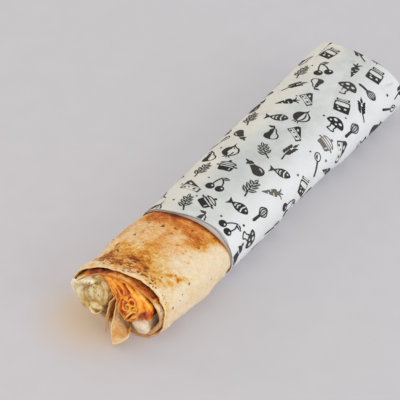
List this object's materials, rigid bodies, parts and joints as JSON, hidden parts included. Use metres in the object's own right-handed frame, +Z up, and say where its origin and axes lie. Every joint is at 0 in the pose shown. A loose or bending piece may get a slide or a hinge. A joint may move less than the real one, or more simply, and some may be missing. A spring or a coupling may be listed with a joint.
{
  "type": "saj sandwich",
  "caption": "Long flatbread roll with browned patches, open at one end to show cheese, sauced chicken and white sauce, its other end held in a printed greaseproof paper sleeve.",
  "frame": {"origin": "centre of the bounding box's bottom face, on the surface the roll lies on", "axes": "+Y along the roll from its open mouth to the folded-shut paper end, +X to the right seen from the mouth, +Z up"},
  "size_m": [0.0666, 0.2674, 0.042],
  "materials": {
    "flatbread": "dry baked flatbread, pale with toasted brown patches",
    "melted_cheese": "moist melted cheese and cream with herb specks",
    "spiced_chicken": "shredded chicken in glossy orange sauce",
    "garlic_sauce": "thick moist white sauce",
    "greaseproof_paper": "white greaseproof paper with small dark printed motifs"
  },
  "bodies": {
    "root": {"saj_bread": "flatbread", "cheese_filling": "melted_cheese", "chicken_filling": "spiced_chicken", "sauce_filling": "garlic_sauce", "paper_sleeve": "greaseproof_paper"}
  },
  "joints": []
}
